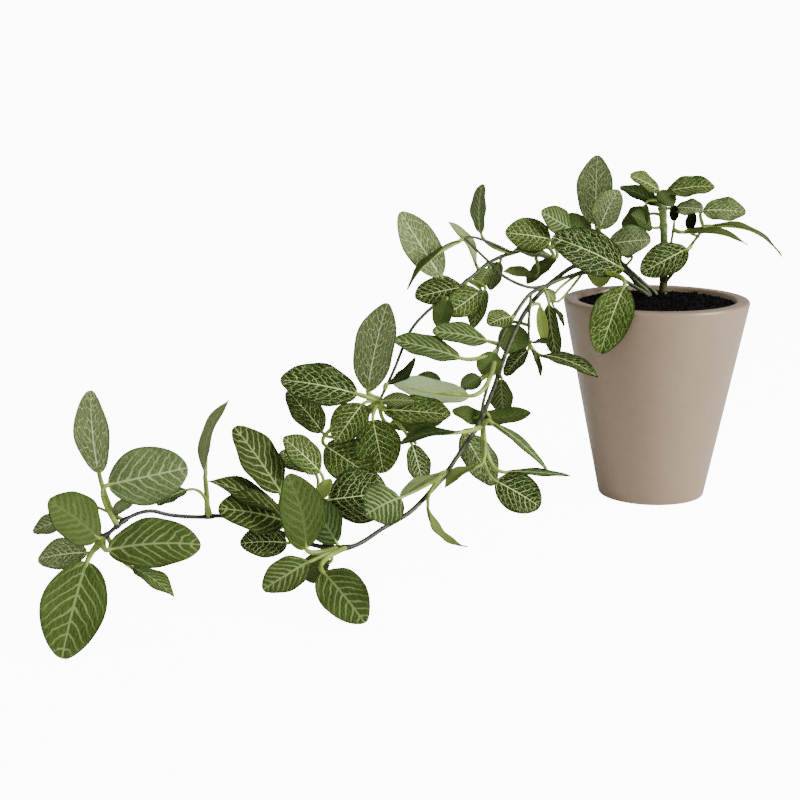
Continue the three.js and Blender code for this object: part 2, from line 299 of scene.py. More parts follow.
def raise_ring(rise, grow):
    """Extrudes the selected disc and scales it about the pot's axis."""
    bpy.ops.mesh.extrude_region_move(TRANSFORM_OT_translate={"value": (0, 0, rise)})
    bpy.ops.transform.resize(value=(grow, grow, 1), center_override=(0, 0, 0))


bpy.ops.mesh.primitive_circle_add(
    vertices=POT_SIDES, radius=POT_FOOT, fill_type="NGON", location=(0, 0, 0)
)
pot = bpy.context.object
set_mode("EDIT")
radius = POT_FOOT
for step in range(WALL_STEPS):
    wanted = POT_FOOT + (POT_TOP - POT_FOOT) * (step + 1) / WALL_STEPS
    raise_ring(POT_HEIGHT / WALL_STEPS, wanted / radius)
    radius = wanted
raise_ring(0, (POT_TOP - POT_WALL) / POT_TOP)
radius = POT_TOP - POT_WALL
above = POT_HEIGHT
for height in INNER_STEPS:
    raise_ring(height - above, pot_inside(height) / radius)
    radius = pot_inside(height)
    above = height
set_mode("OBJECT")

# %% Round the lip, the foot and the inner floor


def bevel_rim(item, height, at_radius, width, segments):
    def on_rim(point):
        return abs(point.z - height) < 1e-5 and abs(point.xy.length - at_radius) < 1e-4

    pick_edges(item, on_rim)
    bpy.ops.mesh.bevel(offset=width, segments=segments, profile=0.5, affect="EDGES")
    set_mode("OBJECT")


bevel_rim(pot, POT_HEIGHT, POT_TOP, LIP_ROUND, 6)
bevel_rim(pot, POT_HEIGHT, POT_TOP - POT_WALL, INNER_LIP_ROUND, 4)
bevel_rim(pot, 0, POT_FOOT, FOOT_ROUND, 3)
bevel_rim(pot, POT_FLOOR, pot_inside(POT_FLOOR), FLOOR_ROUND, 3)
set_mode("EDIT")
bpy.ops.mesh.select_all(action="SELECT")
bpy.ops.mesh.remove_doubles(threshold=1e-6)
bpy.ops.mesh.normals_make_consistent(inside=False)
set_mode("OBJECT")
select_only(pot)
bpy.ops.object.shade_smooth_by_angle(angle=math.radians(35))
print("pot:", [round(side * 1000, 1) for side in pot.dimensions], "mm")

# %% [markdown]
# ## The glaze
# The glaze is a satin taupe, a little pink, that pools and thins in broad soft patches, with
# the faintest dimpling under the shine. Paint in one colour looks like plastic, so the base
# colour drifts between two near tones and a fine bump breaks up the highlight. A thin clear
# coat gives the soft streak of light down the side.

# %% Make the glaze
glaze, tree, shader = new_material("taupe_glaze", linear(146, 125, 102))
broad, broad_height = place_flecks(tree, 9, 0.35, 0.65, (1, 1, 0.5))
fine = place_flecks(tree, 160, 0.45, 0.75)[0]
colour = blend_colour(tree, broad, linear(142, 121, 98), linear(150, 129, 106))
colour = blend_colour(tree, times(tree, fine, 0.12), colour, linear(120, 100, 80))
set_surface(tree, shader, colour, ramp(tree, broad_height, 0.3, 0.7, 0.34, 0.42))
shader.inputs["Coat Weight"].default_value = 0.25
shader.inputs["Coat Roughness"].default_value = 0.22
add_bump(tree, shader, broad_height, 0.06, 0.0006)
pot.data.materials.append(glaze)
finish_piece(pot, "pot_glazed", "pot")

# %% [markdown]
# ## The soil
# Potting soil fills the pot to a few millimetres under the lip and is heaped a little round
# the stems. The bed is a disc extruded up the inside of the pot and inset ring by ring
# towards a low crown. A Displace modifier with a cloud texture then gives it the lumps.

# %% Model the bed of soil
SOIL_EDGE = 0.1366
SOIL_CROWN = 0.003
SOIL_LOW = 0.0083
SOIL_RINGS = 22
SOIL_SIDES = 112
SOIL_GAP = 0.0003
# The poked middle keeps this share of a ring's width.
SOIL_MIDDLE = 0.6

low_radius = pot_inside(SOIL_LOW) - SOIL_GAP - FLOOR_ROUND
edge_radius = pot_inside(SOIL_EDGE) - SOIL_GAP
bpy.ops.mesh.primitive_circle_add(
    vertices=SOIL_SIDES, radius=low_radius, fill_type="NGON", location=(0, 0, SOIL_LOW)
)
soil = bpy.context.object
bpy.ops.object.transform_apply(location=True, rotation=True, scale=True)
set_mode("EDIT")
raise_ring(SOIL_EDGE - SOIL_LOW, edge_radius / low_radius)
ring_share = 1.0
for ring in range(1, SOIL_RINGS + 1):
    next_share = 1 - ring / (SOIL_RINGS + SOIL_MIDDLE)
    rise = SOIL_CROWN * (ring_share ** 2 - next_share ** 2)
    raise_ring(rise, next_share / ring_share)
    ring_share = next_share
bpy.ops.mesh.poke()
bpy.ops.mesh.select_all(action="SELECT")
bpy.ops.mesh.normals_make_consistent(inside=False)
set_mode("OBJECT")

# %% Make the surface lumpy
WALL_WEIGHT = 0.25
# How far below the soil's edge a point still counts as on top, before and after the lumps.
EVEN_TOP = 0.0005
LUMPY_TOP = 0.003
LUMPS = (("clods", 0.011, 0.0042), ("grit", 0.0032, 0.0026))

top_points = soil.vertex_groups.new(name="top")
for point in soil.data.vertices:
    inside = 1 - point.co.xy.length / edge_radius
    if point.co.z > SOIL_EDGE - EVEN_TOP:
        top_points.add([point.index], min(1, WALL_WEIGHT + 4 * inside), "REPLACE")
for name, size, strength in LUMPS:
    texture = bpy.data.textures.new(name, type="CLOUDS")
    texture.noise_scale = size
    texture.noise_depth = 2
    lumps = soil.modifiers.new(name, "DISPLACE")
    lumps.texture = texture
    lumps.texture_coords = "LOCAL"
    lumps.vertex_group = "top"
    lumps.strength = strength
    lumps.mid_level = 0.5
    select_only(soil)
    bpy.ops.object.modifier_apply(modifier=name)
soil_points = np.array([point.co for point in soil.data.vertices])
soil_tops = soil_points[soil_points[:, 2] > SOIL_EDGE - LUMPY_TOP]
bpy.ops.object.shade_smooth_by_angle(angle=math.radians(50))
print("soil stands between", soil_tops[:, 2].min(), "and", soil_tops[:, 2].max(), "m")

# %% [markdown]
# ## Crumbs
# Up close the soil is loose crumbs. One crumb is a small ball of twenty faces, pressed out
# of true. It is copied some hundreds of times, each copy turned, squashed and sized by a
# seeded draw and sunk a little in the bed, and the copies are joined into one piece.

# %% Scatter the crumbs
random.seed(11)
CRUMBS = 850
CRUMB_RADIUS = 0.001
CRUMB_SIZES = (0.45, 0.6, 0.75, 1.0, 1.3)
CRUMB_LIFT = 0.0003
CRUMB_MARGIN = 0.0022


def soil_height(x, y):
    gaps = (soil_tops[:, 0] - x) ** 2 + (soil_tops[:, 1] - y) ** 2
    return soil_tops[gaps.argmin(), 2]


bpy.ops.mesh.primitive_ico_sphere_add(subdivisions=1, radius=CRUMB_RADIUS, location=(0, 0, 0))
crumb = bpy.context.object
for point in crumb.data.vertices:
    point.co *= random.uniform(0.75, 1.25)
crumbs = []
for number in range(CRUMBS):
    reach = (edge_radius - CRUMB_MARGIN) * math.sqrt(random.random())
    turn = random.uniform(0, 2 * math.pi)
    x = reach * math.cos(turn)
    y = reach * math.sin(turn)
    size = random.choice(CRUMB_SIZES)
    spin = Euler([random.uniform(0, 6.28) for _ in range(3)]).to_matrix().to_4x4()
    squash = Matrix.Diagonal((size, size * random.uniform(0.6, 1), size * random.uniform(0.5, 0.9), 1))
    place = Matrix.Translation((x, y, soil_height(x, y) + CRUMB_LIFT))
    mesh = crumb.data.copy()
    mesh.transform(place @ spin @ squash)
    crumbs.append(add_object("crumb", mesh))
bpy.data.objects.remove(crumb)
crumb_layer = join_all(crumbs)

# %% [markdown]
# ## The finish of the soil
# Damp peat is almost black, a little violet where it catches the light, with brown fibres
# and dull all over. Large flecks lighten it and give a rough bump, and small ones are brown.

# %% Make the soil's finish
peat, tree, shader = new_material("damp_peat", linear(26, 20, 22))
clods, clod_height = place_flecks(tree, 260, 0.45, 0.62)
fibres = place_flecks(tree, 900, 0.6, 0.72, (1, 0.4, 1))[0]
colour = blend_colour(tree, clods, linear(6, 5, 6), linear(18, 14, 16))
colour = blend_colour(tree, times(tree, fibres, 0.5), colour, linear(46, 35, 28))
set_surface(tree, shader, colour, 0.95, 0.08)
add_bump(tree, shader, clod_height, 0.8, 0.0012)
for item in (soil, crumb_layer):
    item.data.materials.append(peat)
finish_piece(soil, "soil_bed", "soil")
finish_piece(crumb_layer, "soil_crumbs", "soil")

# %% [markdown]
# ## Smooth runs
# A trailing stem has no corners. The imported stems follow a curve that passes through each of
# their places, so the same curve is drawn here: between two places it leaves and arrives in
# directions worked out from the neighbours, weighted by the spacing so that it never loops.

# %% Draw a smooth run through places
SPACING = 0.0025


def smooth_run(places):
    points = [np.array(place, float) for place in places]
    points.insert(0, 2 * points[0] - points[1])
    points.append(2 * points[-1] - points[-2])
    run = []
    for before, start, end, after in zip(points, points[1:], points[2:], points[3:]):
        spans = [np.linalg.norm(b - a) ** 0.5 for a, b in ((before, start), (start, end), (end, after))]
        d0, d1, d2 = spans
        leave = (start - before) / d0 - (end - before) / (d0 + d1) + (end - start) / d1
        arrive = (end - start) / d1 - (after - start) / (d1 + d2) + (after - end) / d2
        leave *= d1
        arrive *= d1
        count = max(2, int(round(np.linalg.norm(end - start) / SPACING)))
        for number in range(count):
            t = number / count
            run.append(
                start + t * leave
                + t * t * (3 * (end - start) - 2 * leave - arrive)
                + t ** 3 * (2 * (start - end) + leave + arrive)
            )
    run.append(points[-2])
    return np.array(run)


# %% [markdown]
# ## How a leaf sits
# A leaf is given by the places of its base and tip, its width, and how far its face turns
# up from the viewer. From these come the line of its midrib, which bows a little, the
# direction across it, and its stalk, which starts on the shoot nearest to its base or its
# joint. A leaf that is turned steeply is drawn more slender. A leaf also has a look: how
# strong its veins are, how light it is, how warm its green is, and whether its pale back
# is what shows. How light it is holds the leaf's own tone and also painted light and
# shade: leaves that sit in the shade of others are painted darker, with faint veins, and
# a few leaves in shade are painted lighter to make up for it.

# %% Work out a leaf's stance
# The second value, how light a leaf is, is partly its own tone and partly painted light and shade.
Look = namedtuple("Look", "veins light warm turned", defaults=[False])
NET = Look(1.0, -0.1, 0.1)
DEEP = Look(1.0, -0.7, 0.05)
MOSS = Look(0.72, -0.6, 0.2)
BRIGHT = Look(1.0, 0.65, 0.15)
FRESH = Look(1.0, 0.5, 0.05)
CLEAR = Look(1.0, 0.25, 0.05)
GREY = Look(0.7, 0.12, 0.0)
SOFT = Look(0.62, 0.08, 0.1)
MISTY = Look(0.72, 0.38, 0.0)
DARK = Look(0.3, 0.1, 0.1)
# Painted shade: SHADY is for leaves in the shade of others, painted darker with faint veins.
SHADY = Look(0.35, -0.5, 0.0)
PALE = Look(0.55, 0.8, 0.15)
OLIVE = Look(0.3, 0.25, 0.35)
BACK = Look(0.5, 0.3, 0.2, turned=True)
YOUNG = Look(0.15, 0.8, 1.0)
NEAR_BLACK = Look(0.0, -0.9, 0.0)

# Faces turn up and a little to the left, towards this direction.
SKY = Vector((-0.2, 0, 1)).normalized()
# The least way from shoot to blade, and the turn from which a leaf is drawn more slender.
NECK = 0.003
STEEP = 56
# Where a stem stands in the soil: up to the surface, in steps.
ROOT_FOOT = 0.114
ROOT_RISE = 0.0265
ROOT_STEPS = 6


class Leaf:
    """Where one leaf lies. Lengths are in metres."""

    def __init__(self, stem, base, tip, width, turn, look, bow, joint):
        self.base = seen_at(*base)
        self.tip = seen_at(*tip)
        self.width = width / 1000
        self.look = look
        self.slender = turn >= STEEP
        self.seed = random.random()
        self.start = stem.nearest(seen_at(*joint) if joint else self.base)
        axis = (self.tip - self.base).normalized()
        facing = EYE - self.base
        facing = (facing - axis * facing.dot(axis)).normalized()
        side = axis.cross(facing).normalized()
        skyward = -1 if side.dot(SKY) < 0 else 1
        angle = math.radians(turn)
        normal = facing * math.cos(angle) + side * (skyward * math.sin(angle))
        self.side = axis.cross(normal).normalized()
        ahead = (self.base - self.start).dot(axis)
        if ahead < NECK and (self.base - self.start).length < 2 * NECK:
            self.base += axis * (NECK - ahead)
        self.length = (self.tip - self.base).length
        self.crest = self.base.lerp(self.tip, 0.5) + normal * (2 * bow * self.length)

    def midrib(self, t):
        """Points on the midrib and its directions there, for an array of t from 0 to 1."""
        a, b, c = (np.array(point) for point in (self.base, self.crest, self.tip))
        t = np.asarray(t)[:, None]
        place = (1 - t) ** 2 * a + 2 * t * (1 - t) * b + t * t * c
        ahead = 2 * (1 - t) * (b - a) + 2 * t * (c - b)
        return place, ahead / np.linalg.norm(ahead, axis=1)[:, None]

    def stalk(self, count):
        """Points from the shoot to the base of the blade, which it meets in line with it."""
        reach = (self.base - self.start).length
        ahead = (self.crest - self.base).normalized()
        lead = self.base - ahead * (0.35 * reach)
        a, b, c = (np.array(point) for point in (self.start, lead, self.base))
        t = np.linspace(0, 1, count)[:, None]
        return (1 - t) ** 2 * a + 2 * t * (1 - t) * b + t * t * c


class Stem:
    """One planted stem: its shoots, as smooth runs, and its leaves."""

    def __init__(self, name, root_x, root_y, thick):
        self.name = name
        rises = [ROOT_RISE * step / ROOT_STEPS for step in range(ROOT_STEPS + 1)]
        self.root = [(root_x / 1000, root_y / 1000, ROOT_FOOT + rise) for rise in rises]
        self.thick = thick / 1000
        self.shoots = []
        self.leaves = []

    def shoot(self, thick, *places):
        points = [seen_at(*place) for place in places]
        if not self.shoots:
            points = [Vector(point) for point in self.root] + points
        self.shoots.append((thick / 1000, smooth_run(points)))

    def nearest(self, point):
        runs = np.concatenate([run for thick, run in self.shoots])
        gaps = np.linalg.norm(runs - np.array(point), axis=1)
        return Vector(runs[gaps.argmin()])

    def leaf(self, base, tip, width, turn, look=NET, bow=0.05, joint=None):
        self.leaves.append(Leaf(self, base, tip, width, turn, look, bow, joint))


random.seed(5)

# %% [markdown]
# ## The upright tuft
# A thick green stem stands at the back of the pot and ends in a rosette above the soil,
# with two thin shoots beside it. Most of its leaves are half turned up, and the two long
# ones at the right are seen nearly from the edge. Two small leaves among them are nearly
# black, without veins.

# %% Set out the tuft
tuft = Stem("tuft_stem", 9, 30, 6)
tuft.shoot(6, (664, 270, 28), (664, 240, 26), (663, 216, 26), (662, 194, 25))
tuft.shoot(2.4, (664, 284, 28), (675, 270, 24), (690, 247, 20), (704, 228, 18))
tuft.shoot(2.2, (664, 284, 28), (669, 264, 20), (671, 244, 18), (674, 226, 18))
grow = tuft.leaf
grow((659, 191, 24), (630, 176, 12), 18, 54)
grow((661, 193, 23), (715, 187, 16), 22, 50)
grow((659, 206, 30), (620, 187, 42), 15, 50, SHADY)
grow((659, 191, 20), (673, 206, 12), 15, 36, SHADY)
grow((646, 204, 20), (645, 227, 16), 8, 30, DARK)
grow((652, 227, 20), (631, 215, 8), 16, 42, SHADY)
grow((676, 208, 22), (703, 210, 8), 16, 45, FRESH)
grow((703, 211, 18), (746, 213, 10), 22, 42, CLEAR)
grow((708, 226, 22), (782, 257, 30), 14, 82, DARK, bow=0.16)
grow((682, 232, 14), (748, 245, 16), 16, 74, DARK, bow=0.1)
# Two small leaves, nearly black and without veins.
grow((689, 230, 18), (694, 212, 16), 8, 10, NEAR_BLACK)
grow((674, 223, 20), (675, 205, 18), 7, 10, NEAR_BLACK)
grow((687, 249, 6), (641, 274, -6), 25, 20, DEEP)
grow((650, 214, 36), (622, 226, 52), 20, 40, DARK)

# %% [markdown]
# ## The crown over the rim
# A short stem leans towards the left of the rim. It carries the tallest leaf, which nearly
# faces the viewer, and a few broad ones round it.

# %% Set out the crown
crown = Stem("crown_stem", 2, 17, 3)
crown.shoot(3, (645, 284, 16), (625, 266, 14), (608, 250, 14), (598, 228, 16))
grow = crown.leaf
grow((596, 225, 22), (598, 155, 22), 29, 28, FRESH)
grow((599, 231, 10), (619, 190, 6), 22, 24, BRIGHT)
grow((603, 245, 16), (651, 240, -2), 24, 26, FRESH)
grow((632, 256, 16), (621, 246, 10), 9, 20, DARK)
grow((604, 262, 12), (599, 287, 8), 20, 30, YOUNG)
grow((589, 242, 24), (566, 215, 24), 20, 35, DARK)
grow((616, 256, 30), (640, 244, 48), 20, 50, DARK)

# %% [markdown]
# ## The stem at the front
# It leaves the soil nearest the viewer, crosses the rim and drops to the left of the pot,
# with two side shoots. Many of its leaves hang nearly edge-on, long and narrow, and one
# shows its pale back.

# %% Set out the front stem
front = Stem("front_stem", -5, 5, 3)
front.shoot(
    2.8,
    (634, 286, 0), (612, 275, -8), (588, 272, -18), (564, 278, -30), (546, 286, -42),
    (530, 294, -54), (515, 314, -68), (505, 330, -80), (497, 350, -93), (492, 372, -107),
    (486, 392, -120), (482, 410, -131), (483, 426, -140),
)
front.shoot(2, (531, 294, -54), (529, 318, -58), (529, 344, -62))
front.shoot(
    2.2, (546, 286, -42), (528, 287, -54), (505, 277, -56), (487, 260, -50), (464, 238, -44)
)
grow = front.leaf
grow((621, 268, -16), (552, 237, -38), 30, 12, DEEP, bow=0.07)
grow((624, 287, -50), (600, 354, -72), 28, 10, bow=0.08)
grow((515, 316, -72), (488, 325, -84), 18, 40)
grow((506, 326, -42), (520, 356, -54), 21, 8, DARK)
grow((528, 350, -64), (505, 376, -68), 15, 45, DEEP)
grow((495, 347, -96), (485, 377, -104), 17, 5, DARK)
grow((490, 421, -144), (549, 473, -146), 10, 58, GREY)
grow((504, 472, -150), (571, 476, -148), 9, 60, GREY, bow=0.02)
grow((496, 481, -154), (540, 507, -158), 25, 8, DEEP, bow=0.08)
grow((460, 432, -156), (399, 445, -184), 15, 66, SHADY, bow=0.06)
grow((478, 466, -158), (445, 488, -178), 13, 60, OLIVE, bow=0.1)
grow((549, 304, -46), (558, 358, -48), 14, 32, MOSS)
grow((540, 306, -50), (545, 344, -54), 8, 20, YOUNG)
grow((540, 355, -62), (599, 378, -84), 17, 56, DEEP, bow=0.07)
grow((532, 342, -63), (549, 343, -74), 9, 66, SHADY)
grow((531, 346, -64), (541, 377, -66), 9, 66, SHADY)
grow((555, 301, -34), (545, 290, -46), 8, 30, SOFT, joint=(582, 272, -20))
grow((554, 307, -32), (564, 327, -34), 7, 64, SHADY, joint=(578, 273, -22))
grow((487, 341, -88), (432, 332, -98), 20, 46, GREY, bow=0.03)
grow((460, 358, -104), (392, 340, -108), 21, 46, GREY, bow=0.02, joint=(496, 352, -94))
grow((469, 396, -126), (393, 384, -136), 24, 50, BACK, bow=-0.05, joint=(496, 362, -101))
grow((441, 390, -116), (417, 376, -114), 15, 20, SHADY, joint=(493, 372, -107))
grow((480, 377, -108), (461, 388, -118), 12, 20, SHADY)

# %% [markdown]
# ## The longest stem
# One stem runs on alone to the far left, dark and wiry, through a dense cluster in the
# middle and a loose one at its end. The leaves of the last cluster are among the largest
# and softest in pattern, and the tips of the lowest come down to the table.

# %% Set out the longest stem
longest = Stem("long_stem", -3, 12, 3.2)
longest.shoot(
    3.2,
    (637, 282, 8), (620, 268, 3), (598, 264, -2), (575, 266, -8), (558, 277, -18),
    (545, 288, -28), (530, 305, -42), (519, 323, -56), (505, 355, -75), (495, 385, -96),
    (487, 405, -110), (478, 425, -124), (465, 445, -140), (455, 460, -150), (445, 475, -162),
    (430, 492, -176), (410, 512, -190), (385, 527, -205), (350, 547, -226), (318, 546, -226),
    (285, 534, -224), (250, 522, -228), (222, 516, -237), (200, 517, -248), (170, 515, -266),
    (150, 511, -274), (128, 518, -288), (103, 538, -300),
)
grow = longest.leaf
grow((501, 371, -93), (505, 416, -97), 19, 38, SOFT)
grow((463, 434, -122), (493, 486, -138), 24, 30, CLEAR)
grow((474, 420, -112), (531, 413, -118), 18, 54, DARK, bow=-0.03)
grow((489, 420, -112), (452, 411, -116), 18, 54, DARK, bow=-0.03)
grow((428, 505, -186), (468, 547, -200), 14, 70, OLIVE, bow=-0.2, joint=(443, 479, -164))
grow((400, 498, -214), (366, 515, -226), 28, 16, GREY, joint=(444, 470, -160))
grow((441, 473, -166), (398, 502, -206), 13, 58, PALE, joint=(448, 470, -160))
grow((328, 500, -206), (389, 493, -196), 34, 8, DEEP, bow=0.1, joint=(324, 545, -228))
grow((320, 501, -222), (331, 479, -218), 10, 40, YOUNG, bow=0.1, joint=(326, 545, -232))
grow((283, 515, -232), (208, 481, -242), 25, 60, MOSS)
grow((283, 521, -238), (218, 509, -254), 28, 34, MOSS)
grow((287, 543, -238), (240, 544, -248), 20, 20, DEEP)
grow((280, 492, -222), (234, 427, -224), 27, 34, MOSS)
grow((306, 548, -240), (288, 474, -254), 28, 20, DARK, bow=0.08, joint=(340, 546, -228))
grow((338, 545, -226), (308, 500, -228), 24, 30, SHADY)
grow((309, 562, -248), (263, 590, -262), 21, 22, SOFT, bow=0.06, joint=(346, 548, -229))
grow((323, 572, -260), (365, 623, -291), 27, 8, SOFT, bow=0.06, joint=(346, 548, -229))
grow((330, 562, -230), (304, 573, -216), 18, 20, DARK)
grow((320, 472, -214), (283, 438, -218), 22, 38)
grow((312, 470, -204), (280, 452, -196), 20, 38)
grow((112, 512, -284), (134, 502, -292), 9, 40, PALE)
grow((99, 473, -268), (91, 390, -272), 22, 30, BRIGHT, joint=(112, 524, -292))
grow((108, 485, -292), (188, 468, -284), 33, 14, MISTY, bow=0.06, joint=(116, 522, -292))
grow((187, 490, -262), (157, 505, -268), 12, 54, joint=(222, 515, -248))
grow((205, 477, -250), (229, 400, -246), 18, 68, PALE, bow=0.12, joint=(216, 516, -249))
grow((87, 562, -308), (62, 659, -341), 35, 6, SOFT)
grow((108, 550, -308), (201, 545, -302), 29, 22, SOFT, bow=0.06)
grow((131, 567, -296), (174, 597, -306), 18, 58, SOFT)
grow((102, 541, -302), (48, 501, -314), 28, 24, DARK)
grow((91, 505, -290), (66, 501, -294), 11, 42, SOFT, joint=(122, 520, -290))
grow((72, 519, -284), (33, 532, -288), 15, 45, MISTY)
# Painted light: this leaf sits in shade and is given a lighter look to make up for it.
grow((87, 553, -292), (38, 560, -292), 20, 34, FRESH)

# %% [markdown]
# ## The stem at the back
# It arches over the others and comes down between them to a cluster of strongly netted
# leaves in the middle of the trail.

# %% Set out the back stem
back = Stem("back_stem", -8, 28, 2.8)
back.shoot(
    2.6,
    (628, 274, 30), (602, 258, 26), (576, 248, 14), (552, 247, 0), (520, 251, -10),
    (492, 261, -20), (468, 280, -34), (446, 297, -48), (429, 310, -62), (411, 330, -84),
    (394, 370, -124), (379, 402, -150),
)
back.shoot(
    2.2, (512, 253, -13), (500, 247, -20), (486, 241, -28), (472, 237, -34), (463, 238, -37)
)
grow = back.leaf
grow((604, 262, 34), (572, 260, 48), 22, 40, DARK)
grow((570, 229, 6), (541, 212, -10), 20, 25, GREY)
grow((555, 240, -2), (505, 233, -14), 25, 20)
grow((553, 257, -6), (512, 251, -18), 18, 62, MISTY)
grow((556, 258, -2), (527, 284, -8), 14, 48, DARK)
grow((536, 276, -10), (503, 272, -22), 13, 56, OLIVE)
grow((481, 233, -24), (483, 184, -22), 16, 50, MISTY, bow=0.08, joint=(512, 252, -13))
grow((441, 277, -40), (400, 212, -40), 25, 14, FRESH)
grow((470, 286, -38), (415, 298, -52), 24, 36, DEEP)
grow((480, 291, -40), (447, 315, -60), 21, 10)
grow((447, 299, -58), (440, 329, -66), 15, 25, DARK)
grow((485, 290, -42), (474, 328, -58), 15, 35, SOFT)
grow((482, 274, -26), (448, 222, -32), 17, 68, PALE, bow=0.1)
grow((461, 240, -40), (407, 290, -64), 15, 78, DARK, bow=0.1)
grow((492, 266, -26), (478, 288, -36), 14, 30, SOFT)
grow((500, 262, -14), (490, 290, -16), 16, 40, SOFT)
grow((384, 410, -154), (451, 415, -164), 24, 42, bow=0)
grow((390, 424, -146), (444, 419, -150), 18, 46, DARK, bow=-0.06)
grow((386, 384, -142), (415, 357, -136), 12, 58, SHADY, bow=-0.18)
grow((382, 401, -155), (414, 401, -160), 10, 20, SOFT)
grow((368, 391, -148), (388, 303, -148), 29, 30, FRESH)
grow((357, 394, -156), (280, 380, -164), 28, 24, DEEP, bow=0.03)
grow((322, 432, -146), (287, 391, -142), 22, 30, joint=(372, 404, -148))
grow((363, 404, -156), (336, 442, -172), 23, 20)
grow((373, 420, -160), (384, 473, -170), 30, 14)
grow((326, 446, -158), (371, 476, -172), 28, 10, bow=0.06, joint=(366, 412, -152))
grow((412, 445, -164), (423, 485, -170), 17, 32, DEEP)
grow((415, 441, -160), (408, 431, -162), 6, 20, DARK)
stems = [tuft, crown, front, longest, back]
print("leaves on each stem:", [len(stem.leaves) for stem in stems])

# %% [markdown]
# ## One flat leaf
# All the leaves have one build, so one is modelled with care and the rest are copies, each
# bent on its own midrib. The blank is a grid one unit long. Its rows close up towards both
# ends, where the outline turns fastest, and its sides are drawn in to an oval. Each point
# remembers its place on the leaf, as an attribute, so that veins can follow every bend.

# %% Model the flat leaf
ROWS = 36
COLUMNS = 14
FULLEST = 0.97
ROUNDNESS = 0.58
SLENDER = 0.95


def outline(t):
    """Half the width of the blade at t, as a share of the most."""
    t = np.clip(t, 0, 1)
    return np.sin(np.pi * t ** FULLEST) ** ROUNDNESS


bpy.ops.mesh.primitive_grid_add(x_subdivisions=ROWS, y_subdivisions=COLUMNS, size=1, location=(0.5, 0, 0))
blank = bpy.context.object
blank.name = "flat_leaf"
bpy.ops.object.transform_apply(location=True, rotation=True, scale=True)
marks = blank.data.attributes.new("blade", "FLOAT_VECTOR", "POINT")
for point in blank.data.vertices:
    even = min(max(point.co.x, 0), 1)
    t = 0.35 * even + 0.65 * (1 - math.cos(math.pi * even)) / 2
    s = 2 * point.co.y
    full = float(outline(t)) if 0 < even < 1 else 0.0
    s = 0.0 if full == 0 else s
    marks.data[point.index].vector = (t, s, full)
    point.co = (t, s * full / 2, 0)
set_mode("EDIT")
bpy.ops.mesh.select_all(action="SELECT")
bpy.ops.mesh.remove_doubles(threshold=1e-5)
set_mode("OBJECT")
print("flat leaf:", len(blank.data.vertices), "points,", len(blank.data.polygons), "faces")

# %% [markdown]
# ## Bending a copy
# A copy is laid along its midrib. The two halves rise from it in a shallow trough, the
# margin ripples, the blade swells a little between the side veins, and no leaf is quite
# symmetric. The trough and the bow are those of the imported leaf, and the rest is drawn
# from a seeded source, within a millimetre or so.

# %% Bend copies of the leaf
FOLD = 0.16
PAIRS = 8
SWEEP = 0.24
CURL = 0.17
# The sway is a share of the leaf's length, and the other two are shares of its width.
SWAY = 0.02
RIPPLE = 0.035
SWELL = 0.012


def vein_count(t, reach):
    """Rises by one from each side vein to the next; reach runs from the midrib outwards."""
    return (t - SWEEP * reach - CURL * reach ** 2) * PAIRS


def bend_copy(leaf):
    mesh = blank.data.copy()
    count = len(mesh.vertices)
    place = np.empty(count * 3)
    mesh.attributes["blade"].data.foreach_get("vector", place)
    t, s, full = place.reshape(-1, 3).T
    centre, ahead = leaf.midrib(t)
    across = np.array(leaf.side)
    top = np.cross(across, ahead)
    draw = random.Random(leaf.seed)
    shape = full ** (SLENDER / ROUNDNESS) if leaf.slender else full
    half = 0.5 * leaf.width * shape
    sway = draw.uniform(-SWAY, SWAY) * leaf.length * np.sin(np.pi * t)
    lift = FOLD * half * (0.45 * abs(s) + 0.55 * s ** 2)
    ripple = RIPPLE * leaf.width * s ** 2 * np.sin(
        2 * np.pi * (draw.uniform(1.6, 2.6) * t + draw.random()) + np.sign(s)
    )
    between = np.sin(np.pi * vein_count(t, abs(s) * full)) ** 2
    swell = SWELL * leaf.width * between * (1 - s ** 4) * np.minimum(1, abs(s) * full / 0.15)
    points = centre + across * (s * half + sway)[:, None] + top * (lift + ripple + swell)[:, None]
    mesh.vertices.foreach_set("co", points.ravel())
    for name, values in (
        ("look", leaf.look[:3]),
        ("measure", (leaf.length * 1000, leaf.width * 1000, leaf.seed)),
    ):
        layer = mesh.attributes.new(name, "FLOAT_VECTOR", "POINT")
        layer.data.foreach_set("vector", np.tile(values, count).astype(np.float32))
    if not leaf.look.turned:
        mesh.flip_normals()
    return add_object("leaf", mesh)


# %% [markdown]
# ## The pattern of veins
# The face of a leaf carries a midrib, eight pairs of side veins that curve towards the tip,
# and a net of fine ones between them, stretched along the side veins. All three are drawn
# from the place on the blade: the side veins are whole numbers of one sum, the same as in
# the bend above but for a little drift, and the net is the border of cells. The face and the
# back of the leaf use the pattern with other strengths, so it is a group. Widths in it are
# in millimetres: half a midrib goes from 0.38 to 0.04, half a side vein from 0.06 to 0.01.

# %% Build the group for veins
veins, veins_in, veins_out = new_group(
    "leaf_veins",
    {"Thick": "Float", "Soft": "Float"},
    ["Main", "Net", "Glow", "Swell", "Margin"],
)
calc = partial(work, veins)
product = partial(times, veins)
step_of = partial(ramp, veins)
thick, soft = veins_in.outputs[:2]
along, sideways, fullness = read_mark(veins, "blade")
length, width, seed = read_mark(veins, "measure")
side = calc("ABSOLUTE", sideways)
reach = product(side, fullness)
from_midrib = product(reach, product(width, 0.5))

